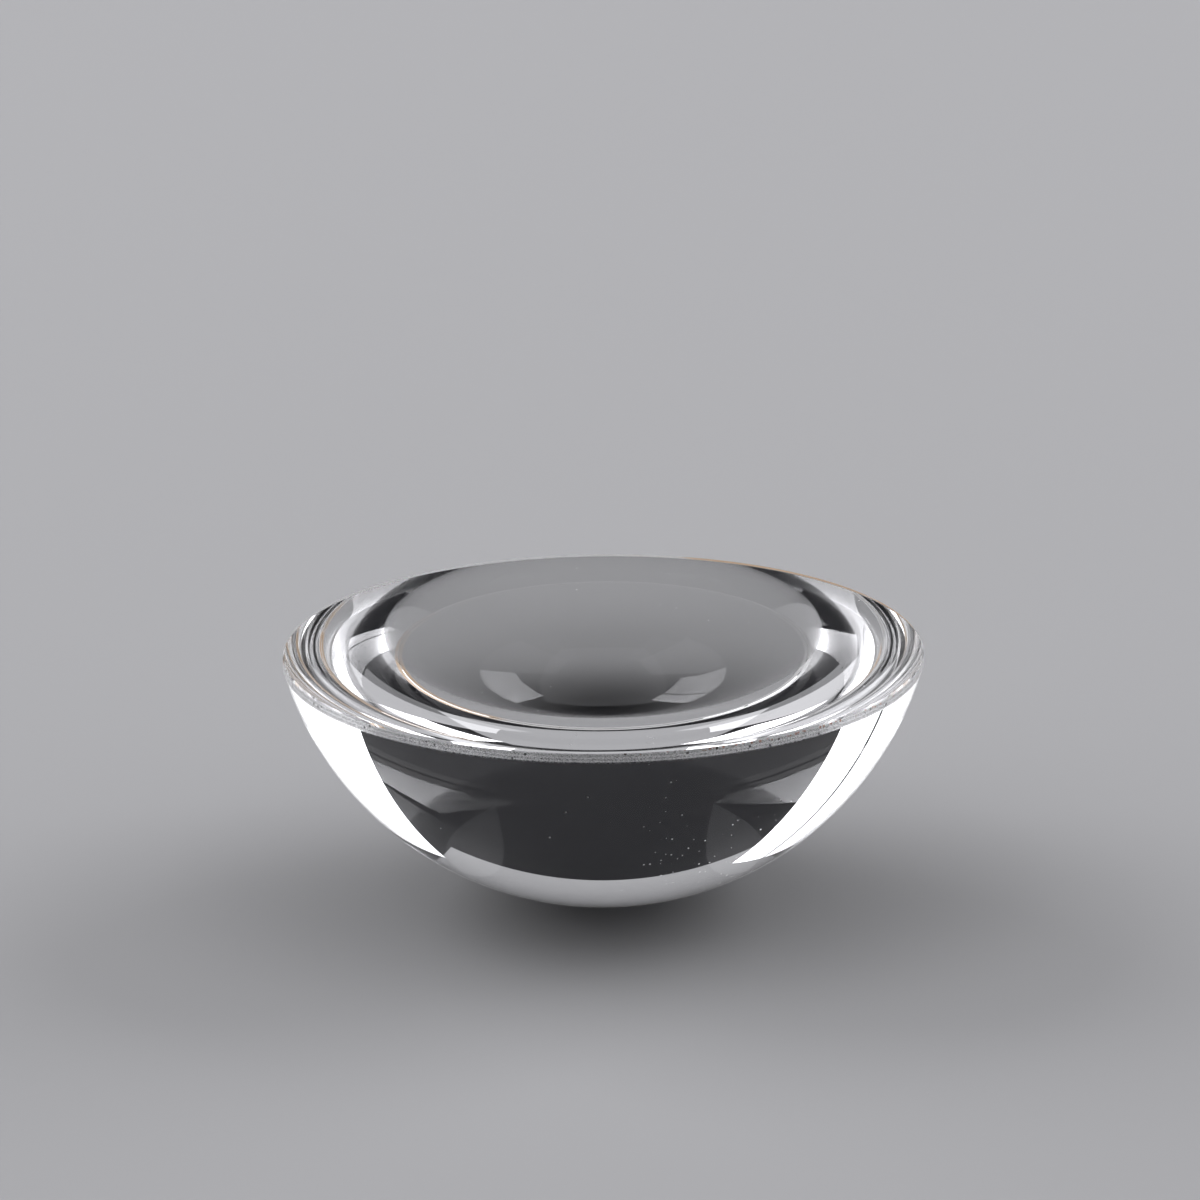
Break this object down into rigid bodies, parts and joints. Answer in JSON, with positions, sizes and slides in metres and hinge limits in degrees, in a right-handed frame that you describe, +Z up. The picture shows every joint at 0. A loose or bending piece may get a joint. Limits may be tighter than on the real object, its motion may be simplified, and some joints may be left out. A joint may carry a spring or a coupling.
{
  "type": "hemisphere lens",
  "caption": "Plano-convex lens of clear glass, flat polished face over a deep, nearly hemispherical dome, that gathers or collimates light.",
  "frame": {"origin": "vertex of the dome, the lowest point of the lens, on the optical axis", "axes": "+Z up along the optical axis, from the dome's vertex towards the flat face; the lens is round about it, so X and Y are free"},
  "size_m": [0.05, 0.05, 0.0198],
  "materials": {
    "optical_glass": "optical polish on the flat face and the dome, fine-ground matt on the land round the rim"
  },
  "bodies": {
    "root": {"hemisphere_lens": "optical_glass"}
  },
  "joints": []
}
